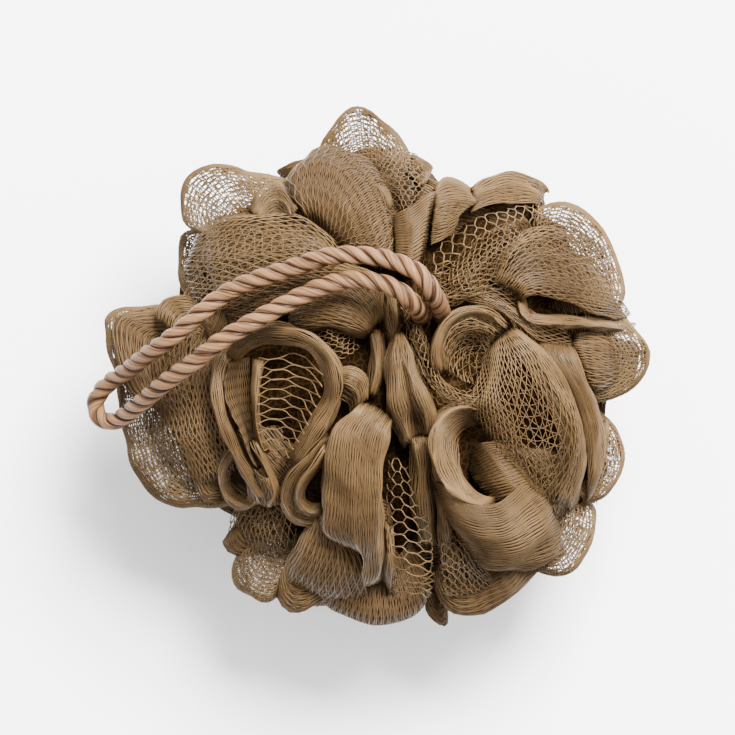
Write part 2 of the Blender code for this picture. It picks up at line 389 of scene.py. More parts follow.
def row_grid(latitude, swing, overhang, waves, share, thickness, seed, steps=560, across=30):
    """A gathered row of net round the pouf. Its rim winds up and down and leans back over itself, and its
    two layers run in towards the waist. Rows are bands that run the same way as the rim."""
    rng = np.random.default_rng(seed)
    turn = np.linspace(0, 2 * math.pi, steps)
    phase = waves * turn + 0.8 * smooth_noise(turn, rng, (2, 3, 5)) + rng.uniform(0, 6)
    size = 1 + 0.25 * smooth_noise(turn, rng, (3, 4, 7))
    around = turn + overhang * size * np.sin(2 * phase) + 0.02 * smooth_noise(turn, rng, (5, 8))
    lat = latitude + swing * size * np.cos(phase) + 0.03 * smooth_noise(turn, rng, (6, 9))
    reach = smooth_reach(around) * share * (1 + 0.03 * smooth_noise(turn, rng, (5, 7, 11)))
    height = 0.0485 + 0.048 * np.sin(lat) / math.sin(1.24)
    radial = reach * np.maximum(np.cos(lat), 0.12) ** 0.62
    rim = np.stack((GATHER[0] + radial * np.cos(around), GATHER[1] + radial * np.sin(around), height), 1)
    foot_turn = turn + 0.3 * (around - turn)
    inner = 0.42 * radial
    level = 0.050 + 0.60 * (0.049 * np.sin(0.7 * latitude + 0.3 * lat))
    foot = np.stack((GATHER[0] + inner * np.cos(foot_turn), GATHER[1] + inner * np.sin(foot_turn), level), 1)
    place = np.linspace(-1, 1, across)[:, None, None]
    out = 1 - np.abs(place) ** 1.5
    sheet = foot + (rim - foot) * out
    forward = unit(np.gradient(rim, axis=0))
    apart = unit(np.cross(forward, unit(rim - foot)))[None]
    puff = thickness * (1 + 0.3 * smooth_noise(turn, rng, (4, 9, 16)))[None, :, None]
    sheet = sheet + apart * puff * np.sign(place) * np.abs(place) ** 0.55
    sheet[..., 2] = np.clip(sheet[..., 2], 0.0004, 0.12)
    return faced_out(sheet)


# Folds of the front, each a few rails of (x, y, rise) points in millimetres. The rise is over the ball
# that the folds fill. The strands run along the rails, or over them where the style says so.
UPPER_FOLDS = {
    "crown": ("arcs over", (
        ((-19, 38, -14), (-16, 37, -12), (-12, 33, -11), (-7, 27.5, -13)),
        ((-20.5, 41, -6), (-17, 42.5, -4), (-13, 39, -4), (-8, 33, -6), (-4, 27, -9)),
        ((-23, 45, -3), (-18, 48.5, 0), (-12, 46, 1), (-8, 40, 0), (-5, 33, -4), (-1.5, 26, -9)),
        ((-24.5, 49.5, -4), (-19, 54, -1), (-11, 53, 1), (-5, 46, 1), (-2, 38, 0), (0, 31, -3),
         (1, 25.5, -8)),
        ((-22, 54, -8), (-16, 58, -6), (-8, 56.5, -3), (-1, 50, -2), (2, 42, -2), (3.2, 35, -3),
         (3.8, 27, -8)),
        ((-18, 57, -16), (-14, 59.5, -14), (-7, 58, -12), (1, 52, -12), (4.5, 43, -12), (5.3, 36, -14),
         (5.3, 27, -16)),
    )),
    "crown_pleat": ("open", (
        ((0, 57, -12), (1, 52, -12), (3.5, 46, -12), (4.5, 41, -13)),
        ((3, 58, -6), (4.5, 53, -5), (6, 47, -6), (6.5, 41, -8)),
        ((7, 58, -5), (9, 53, -4), (9.5, 47, -5), (8.5, 41, -8)),
        ((10, 57, -10), (12.5, 53, -10), (12.5, 47, -10), (10.5, 41, -13)),
    )),
    "crown_curl": ("band", (
        ((-5, 52, -9), (0, 50, -7), (3.2, 46, -7), (4, 42, -9)),
        ((-4, 49, -3), (0, 47.5, -2), (2, 44.5, -3), (2.3, 41, -5)),
        ((-3, 45, -9), (-1, 44, -8), (0, 42, -9), (0, 39, -12)),
    )),
    "crown_corner": ("band", (
        ((8, 52, -12), (10, 51, -12), (11, 50, -12), (11, 48, -12)),
        ((9, 55.5, -12), (12, 54.5, -13), (13.5, 52.8, -14), (12.8, 50.5, -13), (12, 48.5, -12)),
        ((9, 57.3, -18), (12, 56.3, -18), (15, 54.2, -19), (14.6, 51.5, -18), (13, 49, -17)),
        ((9, 56, -26), (12, 55, -26), (14, 53.5, -27), (13.5, 51, -26), (12.5, 49, -25)),
    )),
    "slanted": ("band over", (
        ((2.5, 40, -16), (3, 35, -14), (3.5, 30, -13), (4, 26, -15)),
        ((3.8, 40.5, -8), (4.5, 35, -5), (5, 30, -4), (5.2, 26, -7)),
        ((7.5, 42, -4), (8.5, 36, -1), (8.5, 30, -1), (7.7, 25, -5)),
        ((14, 46.5, -5), (12.7, 39, -1), (11.5, 32, -2), (10, 25.5, -7)),
        ((16, 47.5, -14), (14.7, 39, -12), (13, 32, -12), (11, 25, -16)),
    )),
    "fan": ("net", (
        ((-48, 37, -22), (-43, 40, -18), (-36, 41.5, -16), (-29, 42, -15), (-20, 41, -15), (-8.5, 32, -18)),
        ((-49, 35, -12), (-44, 38, -8), (-37, 39.8, -6), (-29, 40.5, -5), (-20, 39.5, -6), (-14, 36, -8),
         (-9.5, 31, -10)),
        ((-51, 31, -8), (-43, 34, -3), (-36, 36, -1), (-28, 36.5, 0), (-20, 35, 0), (-14, 31.5, -3),
         (-10, 27, -7)),
        ((-51.5, 26, -8), (-43, 28.5, -2), (-35, 30, 1), (-27, 30, 1), (-19, 29, 0), (-11, 26, -3)),
        ((-50, 20, -12), (-42, 22, -6), (-34, 23, -4), (-26, 24, -4), (-18, 24, -5), (-10, 23, -7)),
        ((-47, 14, -18), (-40, 16, -14), (-32, 17, -12), (-24, 19, -12), (-16, 20, -12), (-9, 20, -12)),
    )),
    "fan_under": ("lined", (
        ((-46, 38, -18), (-36, 40, -12), (-26, 40, -11), (-16, 37, -12), (-9, 30, -14)),
        ((-46, 29, -13), (-36, 31, -7), (-26, 31, -6), (-16, 29, -7), (-9, 25, -11)),
        ((-44, 20, -15), (-35, 21, -10), (-26, 22, -9), (-16, 22, -9), (-8, 20, -12)),
        ((-41, 11, -19), (-33, 12, -14), (-24, 14, -13), (-15, 15, -13), (-7, 15, -14)),
    )),
    "fan_hood": ("rib", (
        ((-30, 38, -10), (-28.5, 40, -10), (-27, 41, -10), (-25.5, 40, -10), (-24, 38, -10)),
        ((-32, 39.5, -3), (-29.5, 43.5, -4), (-27, 45, -5), (-24.5, 43.5, -4), (-22.5, 39.5, -3)),
        ((-34, 41, -6), (-31.5, 46, -9), (-27, 48.5, -10), (-23.5, 46, -8), (-21, 41.5, -5)),
        ((-35, 42, -14), (-32, 48, -18), (-27, 50.5, -19), (-22.5, 47.5, -16), (-20, 42, -13)),
    )),
    "tongue": ("lined", (
        ((-23, 8, -22), (-17, 9, -18), (-12, 9.5, -15), (-6, 8, -15), (-2.5, 7, -16)),
        ((-24, 10, -12), (-18, 11, -7), (-12, 11, -5), (-6, 9.5, -5), (-2.5, 8.2, -7)),
        ((-24, 14, -8), (-17, 15, -3), (-10, 14, -1), (-4.5, 11.5, -2), (-1.6, 8.8, -5)),
        ((-22, 19, -7), (-15, 20, -2), (-8, 18.5, 0), (-3, 15, -1), (-0.9, 10, -5)),
        ((-20, 24, -10), (-12, 25, -5), (-5, 23, -3), (-0.5, 18, -3), (0, 11, -7)),
        ((-18, 27, -16), (-10, 28, -12), (-2, 26, -10), (2, 19, -10), (1.5, 11, -14)),
    )),
    "flap": ("open", (
        ((-18, 10, -12), (-15, 5, -12), (-12, 1, -13)),
        ((-14, 11, -7), (-10.5, 6.5, -7), (-7, 3, -9)),
        ((-11, 12, -11), (-7, 9, -10), (-4.5, 5, -12)),
    )),
    "pleat_right": ("band", (
        ((15, 48, -20), (18, 51, -22), (22, 50, -22), (26, 47.5, -22)),
        ((15, 47, -10), (18, 49, -12), (22, 48.3, -12), (25.5, 46, -12)),
        ((14.5, 43, -5), (18.5, 44.5, -4), (23, 44.5, -5), (27, 44, -8)),
        ((14, 38, -5), (18, 39, -5), (22, 41, -7)),
        ((13.5, 32, -11), (17, 34, -10), (20, 36.5, -12)),
    )),
    "smooth_lobe": ("band", (
        ((24, 41, -10), (29, 43, -9), (35, 44, -9), (41, 44, -9), (44, 43, -10)),
        ((25, 45, -9), (29.5, 47.5, -9), (34.5, 49, -10), (40, 48.5, -10), (44.5, 46, -10)),
        ((25, 47.5, -13), (28.5, 50.5, -15), (34, 52.5, -16), (39, 52.2, -16), (44, 50, -16),
         (46.7, 47.5, -15)),
        ((25, 47, -22), (28.5, 49.5, -24), (34, 51, -25), (39, 51, -25), (43, 49, -25), (45.5, 47, -24)),
    )),
    "ladder_far": ("ladder over", (
        ((11.5, 26.5, -16), (17.5, 33.5, -11), (27, 40, -9), (37, 43.5, -10), (44.5, 45, -14)),
        ((12.5, 25, -10), (18.8, 32, -5), (28, 38.3, -3), (37.6, 42, -4), (45, 43.5, -9)),
        ((14, 23.5, -8), (20.2, 30.5, -3), (29, 36.5, -1), (38.2, 40, -2), (45.3, 41.5, -8)),
        ((15.5, 22, -10), (21.5, 28.8, -6), (30, 34.7, -4), (38.8, 38, -5), (45.5, 39.5, -10)),
        ((16.5, 20.5, -16), (22.5, 27.3, -13), (31, 33, -11), (39.3, 36, -12), (45.7, 37.5, -15)),
    )),
    "throat_right": ("net", (
        ((11, 16.5, -20), (18, 16, -14), (24, 17, -13), (31, 17, -13), (37, 15.5, -14)),
        ((12, 19, -15), (18, 18.5, -9), (24, 19.5, -7), (31, 19.5, -8), (37, 18, -9)),
        ((13, 23, -15), (19, 23, -11), (25, 24, -9), (31, 24.5, -9), (37, 23, -9)),
        ((14, 27, -19), (20, 28, -16), (26, 29, -15), (32, 29, -15), (38, 28, -15)),
    )),
    "ladder_near": ("open over", (
        ((18, 23, -14), (21, 29, -12), (26, 34, -11), (32.5, 37.5, -12), (38, 39, -14)),
        ((19.5, 21, -7), (22.5, 27, -5), (27.5, 32, -4), (33, 35.5, -5), (38, 37, -7)),
        ((23, 19, -4), (25.5, 24.5, -2), (29, 28.5, -1), (33.5, 31.5, -2), (38.5, 34, -4)),
        ((28, 17.5, -6), (29.5, 22, -5), (32, 26, -4), (36, 29, -5), (40, 32, -6)),
    )),
}

RIGHT_FOLDS = {
    "right_net": ("net", (
        ((38.6, 18.5, -14), (41, 20, -14), (46, 20, -14), (53, 17.2, -13), (59, 14.8, -12),
         (64.5, 12.6, -12)),
        ((37.3, 17.5, -4), (40, 19.7, -1), (45, 19.7, 0), (52, 17, 0), (58, 14.5, -1), (64, 12.5, -4)),
        ((36.5, 19, -2), (39.5, 21.7, 1), (45, 22, 2), (53, 19.5, 2), (60, 16.8, 1), (67, 13.5, -4)),
        ((34.5, 20, -2), (38.5, 24, 0), (45, 25, 2), (54, 22.5, 2), (62, 19, 0), (68, 14.5, -6)),
        ((32, 21, -5), (37, 27, -2), (45, 30, 0), (54, 28, -1), (61, 24, -4), (66, 19, -9)),
        ((30, 21.5, -8), (35, 29.5, -4), (41, 34, -2), (48, 35, -3), (55, 33, -6), (61, 29, -11)),
        ((28, 23, -15), (33, 31, -11), (40, 36.5, -9), (48, 38, -10), (56, 36, -13), (62, 32, -18)),
    )),
    "right_net_under": ("band", (
        ((36, 19, -11), (42, 20, -8), (50, 18, -8), (58, 15, -8), (65, 12, -10)),
        ((35, 23, -10), (42, 26, -7), (50, 25, -7), (58, 21, -8), (65, 16, -12)),
        ((33, 27, -12), (41, 32, -8), (50, 32, -8), (58, 28, -11), (64, 22, -16)),
    )),
    "mouth_lip": ("rib", lip((
        (37.2, 18.5, -4), (37.9, 14, -3), (41.4, 11.9, -2), (48, 11.4, -1), (56, 11.2, -1), (64, 10.5, -3),
        (69.5, 9.2, -7),
    ), 1, 2.6, 9)),
    "right_lobe": ("lined", (
        ((52, 9, -12), (58, 9, -9), (64, 8, -9), (70, 7, -13)),
        ((51, 6, -9), (57, 5.5, -5), (64, 4, -6), (71, 3.5, -12)),
        ((53, 1, -8), (58, 0, -4), (64, -1, -6), (70, -1.5, -12)),
        ((55, -4, -10), (59, -4.5, -7), (64, -4.5, -10), (69, -4.5, -15)),
        ((58, -8, -16), (61, -8, -15), (64, -7.5, -17)),
    )),
    "right_panel": ("band", (
        ((39.5, 6, -11), (43.5, -1, -10), (49, -8, -9), (52.5, -16, -10), (54.5, -26, -12)),
        ((43, 7.3, -6), (46.5, 1, -3), (51.5, -7, -2), (54.5, -15, -3), (56.5, -26, -6)),
        ((47, 7.3, -4), (49.5, 1, -1), (53.8, -7, 0), (56.8, -16, -1), (58, -27, -4), (56, -36, -10)),
        ((50.5, 6.7, -3), (53.5, -1, -1), (57.2, -9, -1), (59.5, -18, -2), (59.7, -27, -5), (57, -36, -10)),
        ((52, 6, -10), (55.5, -2, -9), (59, -10, -10), (61.5, -18, -12), (62, -27, -14), (59, -37, -20)),
    )),
    "saddle": ("net", (
        ((16, 20, -18), (24, 22, -12), (32, 21, -9), (38, 18, -10), (42, 13, -13)),
        ((20, 18.5, -12), (27, 18.6, -8), (34, 16.5, -6), (41, 11, -6), (51, 8.5, -8)),
        ((26, 16.5, -10), (32, 15, -7), (37, 11.5, -5), (43, 7, -6), (52, 6, -9)),
    )),
    "bowl_floor": ("net", (
        ((15, -3, -16), (16.5, 4, -14), (19, 9, -12), (24, 12, -11), (30, 11, -10)),
        ((20, -6, -16), (21, 0, -15), (23, 4.5, -14), (27, 7, -12), (31, 7, -9)),
        ((26, -8, -13), (27, -3, -12), (28, 0, -10), (29.5, 2.5, -9), (31.5, 3, -7)),
    )),
    "bowl_rim": ("rib", lip((
        (15.2, -2, -4), (14.7, 4.8, -1), (16.3, 10.2, 1), (20.2, 14, 2), (25, 15.3, 2), (29.8, 14, 1),
        (34.3, 10.2, 0),
    ), -1, 2.6, 9)),
    "bowl": ("net", (
        ((17.2, -1, -5), (17, 5, -1), (18.6, 9.3, 1), (21.5, 11.8, 2), (25, 12.7, 2), (28.7, 11.7, 1),
         (32, 8.5, -1)),
        ((19, -2, -12), (19, 3.5, -10), (20.5, 7, -9), (22.5, 9, -8), (25.3, 9.5, -8), (28, 8.5, -8),
         (30.5, 6, -7)),
        ((22, -4, -14), (21.8, 0, -16), (22.8, 3, -16), (24.2, 5, -16), (26, 5, -16), (27.5, 4, -14),
         (29, 2.5, -10)),
        ((25.5, -5, -10), (25, -3, -14), (25.3, -1, -16), (26, 0, -16), (27, 0, -15), (28, -0.5, -11),
         (28.5, -1, -7)),
    )),
    "bowl_ladder": ("open over", (
        ((10.5, 13.5, -10), (12.5, 7, -9), (14.3, 1.5, -9), (17.3, -2.5, -9), (21.5, -5, -9), (26, -6, -10),
         (30, -5, -7)),
        ((9.3, 12.5, -5), (11.2, 6, -4), (13.4, 0, -3), (16.5, -4.7, -2), (20.8, -7.8, -2), (26, -8.8, -3),
         (31, -7.5, -2)),
        ((7.5, 11, -9), (9.2, 4, -9), (11.2, -2.5, -8), (14.3, -8, -7), (19, -11.5, -6), (25.5, -12.5, -6),
         (31, -11.5, -4)),
    )),
    "great_sheet": ("net", (
        ((28.3, 4, -9), (26.5, -2.5, -8), (24, -8.5, -9), (21.5, -11.5, -14)),
        ((29.5, 5.5, -3), (28.8, -2.5, -1), (27, -9, -1), (25, -13.5, -7)),
        ((31, 7.3, 0), (31.5, -2.5, 2), (31, -11, 3), (29.5, -18, -3)),
        ((32.7, 8.7, 1), (35.5, 0, 4), (37, -11, 5), (36, -21, 3), (34.5, -26, -5)),
        ((34, 9.7, 1), (40, 0, 4), (44, -12, 5), (44, -25, 3), (41, -35, -4)),
        ((35.5, 10.2, 0), (44.5, -0.3, 3), (50, -11, 4), (51.7, -24, 2), (47, -37, -4)),
        ((37, 10.2, -4), (46.7, 0.7, -2), (52.5, -10, -1), (54.7, -24, -3), (51, -38.5, -9)),
        ((38.5, 9.7, -14), (48.5, 1, -12), (54.5, -10, -12), (56.5, -24, -13), (52.5, -40, -18)),
    )),
    "great_sheet_edge": ("rib", (
        ((33, 9, -4), (39, 0.5, -1), (44.5, -9, 0), (48, -20, -1), (46, -34, -7)),
        ((35, 10.2, 0), (43.5, 0.3, 2.5), (49, -10.5, 3.5), (51.5, -23, 2), (48, -37, -5)),
        ((36.6, 10.6, -3), (46.3, 0.9, -1.5), (52.3, -9.6, -1), (54.9, -23.5, -3), (51.3, -38.8, -9)),
        ((38.5, 9.7, -14), (48.5, 1, -12), (54.5, -10, -12), (56.5, -24, -13), (52.5, -40, -18)),
    )),
    "right_inner": ("lined", (
        ((36, -21, -8), (41, -29, -7), (43, -38, -10), (45.5, -48, -15)),
        ((40, -21, -5), (45, -28, -4), (47, -37, -8), (48, -47, -15)),
        ((45, -21, -8), (49, -28, -8), (51, -36, -11), (51, -44, -18)),
    )),
    "side_leaf": ("band", (
        ((58, -14, -16), (57.5, -22, -16), (55, -31, -18), (51, -40, -22)),
        ((60.3, -14, -11), (60.5, -22, -10), (58, -31, -12), (53.5, -40, -16)),
        ((61.6, -14, -15), (62.2, -22, -15), (59.5, -32, -17), (55, -41, -21)),
    )),
}

LOWER_FOLDS = {
    "teardrop": ("band", (
        ((28.5, -9.5, -12), (22, -9, -12), (16.3, -11, -13), (13, -15.3, -13), (12.4, -21, -13),
         (13.5, -27.5, -12), (16.5, -33, -10)),
        ((27, -10.8, -3), (22, -10, -2), (17.5, -12, -1), (14.6, -16, 0), (13.9, -21, 0), (15, -27, 1),
         (18.5, -32.3, 2), (23.5, -35.5, 2), (28, -36.3, 2), (31, -35.5, 1)),
        ((26.9, -11.2, -2), (22, -10.6, -1), (17.9, -12.5, 0), (15.2, -16.2, 1), (14.6, -21, 1),
         (15.7, -26.8, 2), (19, -31.8, 3), (23.7, -35, 3), (28, -35.9, 3), (31, -35.2, 2)),
        ((26.6, -13, -7), (22.5, -12.8, -6), (19.4, -14.5, -5), (17.5, -17.3, -4), (17, -21.3, -3),
         (18, -26, -2), (20.5, -30.5, -1), (24.2, -34, 1), (28, -35.3, 2), (31, -35, 1.5)),
        ((26.8, -15, -13), (23.5, -15, -12), (20.8, -16.7, -10), (19.4, -19, -9), (19.2, -22.5, -8),
         (20.2, -26.5, -8), (22, -30, -6), (25, -33.2, -3), (28.3, -34.8, 0), (31, -34.8, 1)),
        ((27, -17, -22), (25, -17, -22), (22.6, -18.5, -21), (21.5, -20.5, -20), (21.5, -23, -19),
         (22, -26, -18), (23.5, -29.5, -15), (25.8, -32.5, -8), (28.6, -34.4, -2), (31, -34.7, 0)),
    )),
    "teardrop_ribs": ("band over", (
        ((22.5, -22, -24), (24.5, -27.5, -18), (27, -32, -11), (31, -36.5, -6)),
        ((24.5, -21, -18), (27.5, -26.5, -10), (30.5, -31, -4), (34, -35.5, -2)),
        ((27, -20, -14), (31, -25, -5.5), (34.5, -29.8, -1), (37.5, -34, -1)),
        ((30, -19.5, -13), (34.5, -24, -5), (38, -28.5, -2), (40.5, -32.5, -3)),
        ((33, -19.5, -16), (38, -24, -9), (41.5, -28, -7), (43.5, -32, -9)),
    )),
    "teardrop_body": ("band", (
        ((15, -30, -10), (17.3, -31.5, 0), (22.5, -35.8, 3), (29, -36.6, 4), (34, -34, 2.5),
         (38.5, -30.5, -1), (42, -28.5, -9)),
        ((15.7, -35, -12), (18.5, -37, -1), (25, -40, 3), (32, -40.3, 4), (38, -36.7, 3), (42, -33.5, -1),
         (45, -32, -10)),
        ((18.5, -42, -14), (21, -42.5, -3), (27.5, -45, 2), (35, -44.8, 3), (41.5, -41, 2), (45, -38, -2),
         (47.3, -36.5, -11)),
        ((22.5, -49, -16), (24.7, -48.5, -6), (30.5, -50.3, -1), (38, -49.6, 0), (44.5, -46.3, -1),
         (47.5, -44, -4), (49.5, -43, -13)),
        ((27.5, -55, -20), (29, -53.7, -11), (34.5, -54.4, -7), (41, -53.4, -6), (46.9, -51, -6),
         (49, -49.3, -9), (50.5, -48.3, -17)),
        ((30, -56, -26), (32, -56.5, -22), (36, -56.5, -20), (42, -55.4, -19), (48.5, -53, -19),
         (50, -51.5, -21), (51, -50.5, -26)),
    )),
    "wide_band": ("band", (
        ((-6, -11, -10), (-12, -17, -12), (-14.5, -23, -13), (-15, -31, -13), (-15.2, -38, -14),
         (-15.5, -43, -15), (-14, -47, -17)),
        ((-4.5, -9.8, -3), (-10, -15, -3), (-12.4, -21, -2), (-13.2, -30, -2), (-13.4, -38, -3),
         (-14, -43, -5), (-12.5, -46.5, -8)),
        ((-2.5, -9.5, 0), (-7.5, -15, 1), (-9.3, -21, 2), (-9.8, -30, 2), (-10, -38, 1), (-10.3, -43, -1),
         (-8, -48, -5)),
        ((0, -10.5, 1), (-4, -15.5, 3), (-5.5, -21, 4), (-6.2, -30, 4), (-6.2, -38, 3), (-6, -45, 1),
         (-3.5, -51, -4)),
        ((2, -12, 1), (-0.8, -16.5, 3), (-2.3, -22, 3), (-2.8, -30, 3), (-2.8, -38, 2), (-2.4, -47, 0),
         (-2.8, -54, -4), (-3.6, -59, -9)),
        ((3.6, -13.8, -1), (2, -18, 0), (0.8, -24, 0), (0.3, -31, 0), (0.2, -38, -1), (0.6, -48, -3),
         (0.4, -54, -6), (-1.6, -58.5, -9)),
        ((4.5, -15, -10), (3.5, -19, -9), (2, -25, -10), (1.5, -31, -10), (1.5, -38, -10), (2, -48, -12),
         (1.5, -54, -14), (-0.3, -58.5, -16)),
    )),
    "long_ladder": ("ladder over", (
        ((2.5, -24, -18), (2.3, -34, -18), (2.3, -44, -18), (2.8, -54, -18), (3, -62, -20)),
        ((3.5, -24, -11), (3.3, -34, -11), (3.5, -44, -11), (4, -54, -11), (4.3, -62, -15)),
        ((6, -24, -9), (6.3, -34, -8), (7, -44, -7), (8, -54, -6), (8.5, -62, -10)),
        ((9, -26, -12), (10, -34, -9), (11.5, -43, -6), (13, -53, -5), (12.8, -62, -9)),
        ((11, -27, -20), (12.5, -35, -18), (14, -43, -14), (15.5, -53, -13), (15, -62, -17)),
    )),
    "ladder_ridge": ("band", (
        ((0.5, -41, -16), (1.2, -51, -15), (2, -61, -18)),
        ((2.2, -41, -9), (2.8, -51, -7), (3.4, -61, -11)),
        ((4, -42, -14), (4.7, -52, -13), (5, -61, -16)),
    )),
    "narrow_folds": ("lined", (
        ((14, -24, -16), (15, -34, -14), (16, -44, -15), (17.5, -54, -17)),
        ((16.5, -28, -12), (17.5, -36, -9), (18.5, -45, -10), (19.5, -54, -13)),
        ((19, -36, -16), (20.5, -42, -15), (21.5, -48, -16), (22, -55, -18)),
    )),
    "big_cells": ("open", (
        ((17, -40, -19), (21, -41, -18), (27, -46, -20)),
        ((16.5, -46, -13), (22, -46, -11), (28, -52, -13)),
        ((16.5, -54, -9), (23, -54, -7), (32, -57.5, -10)),
        ((18, -61, -11), (26, -61.5, -10), (36, -59, -12)),
        ((19, -66, -18), (27, -66, -18), (38, -61, -19)),
    )),
    "twist": ("band", (
        ((3, 9, -14), (1.8, 0, -12), (2, -8, -12), (3.5, -15, -13), (6.3, -22, -16)),
        ((4.3, 9.5, -5), (3.4, 0, -3), (3.5, -8, -3), (5, -14.5, -5), (7.8, -21, -9)),
        ((5, 9.5, -2), (5.2, 0, 0), (5.6, -8, 0), (7.2, -14.5, -4), (9.2, -20.5, -8)),
        ((5.7, 9.5, -3), (6.6, 0, -1), (7.8, -7.5, -3), (9.8, -13.5, -9), (10.8, -19.5, -10)),
        ((6.3, 9.5, -2), (8, 0, 1), (10.2, -6.8, 1), (12.6, -12.8, -2), (12.8, -19, -6)),
        ((7, 9, -4), (9.5, 0, -3), (12.2, -6, -2), (14.8, -13, -4), (14.7, -20, -8)),
        ((8, 9, -13), (11, 0, -12), (13.5, -6, -12), (16, -13, -13), (15.7, -20, -16)),
    )),
    "twist_foot": ("band", (
        ((7.5, -18.5, -12), (8.7, -28, -14), (9.5, -38, -17), (11.5, -48, -20)),
        ((9.7, -18, -5), (10.7, -28, -7), (11.3, -38, -11), (13, -48, -15)),
        ((12.8, -17.5, -5), (13, -28, -7), (13.5, -38, -11), (15, -48, -15)),
        ((15, -18, -13), (14.8, -28, -15), (15.3, -38, -19), (17, -48, -20)),
    )),
    "leaf": ("band", (
        ((-12, 0, -14), (-7, 0.5, -13), (-2.5, -2.5, -14), (-1.5, -8.5, -16)),
        ((-11.5, -1.4, -9), (-7, -1.5, -7), (-3.7, -4, -8), (-3, -9, -11)),
        ((-11, -4, -8), (-7.5, -4.8, -6), (-5.3, -7, -7), (-5, -10.5, -10)),
        ((-11, -8, -13), (-9, -8.7, -12), (-7.7, -10, -13), (-7.3, -12.5, -15)),
    )),
    "inner_strip": ("rib", (
        ((-3, 10.5, -15), (-2, 3, -16), (-2.4, -3, -17), (-4, -7.5, -18)),
        ((-1.5, 10.5, -9), (-0.6, 3, -9), (-0.8, -3, -10), (-2.2, -8, -12)),
        ((0, 10.5, -10), (0.7, 3, -10), (0.5, -3, -11), (-0.8, -8.5, -13)),
        ((1.5, 10, -16), (2, 3, -17), (1.8, -3, -18), (0.6, -8, -18)),
    )),
    "throat_left": ("rib", (
        ((0, 21, -15), (1, 15, -13), (2, 10, -13), (2.2, 5, -16)),
        ((2, 21, -8), (3.2, 15, -6), (3.8, 10, -7), (3.7, 5, -10)),
        ((4.5, 21, -11), (5.2, 16, -9), (5.3, 11, -10), (5, 6, -13)),
    )),
    "throat_loops": ("open", (
        ((6, 20, -17), (7, 15, -15), (7.5, 10, -13), (9, 5, -14)),
        ((8, 18, -13), (9, 13.5, -10), (10, 9, -9), (11.5, 4, -11)),
        ((11, 14, -17), (11.5, 11, -14), (12.5, 7, -13), (13.5, 2.5, -14)),
    )),
}

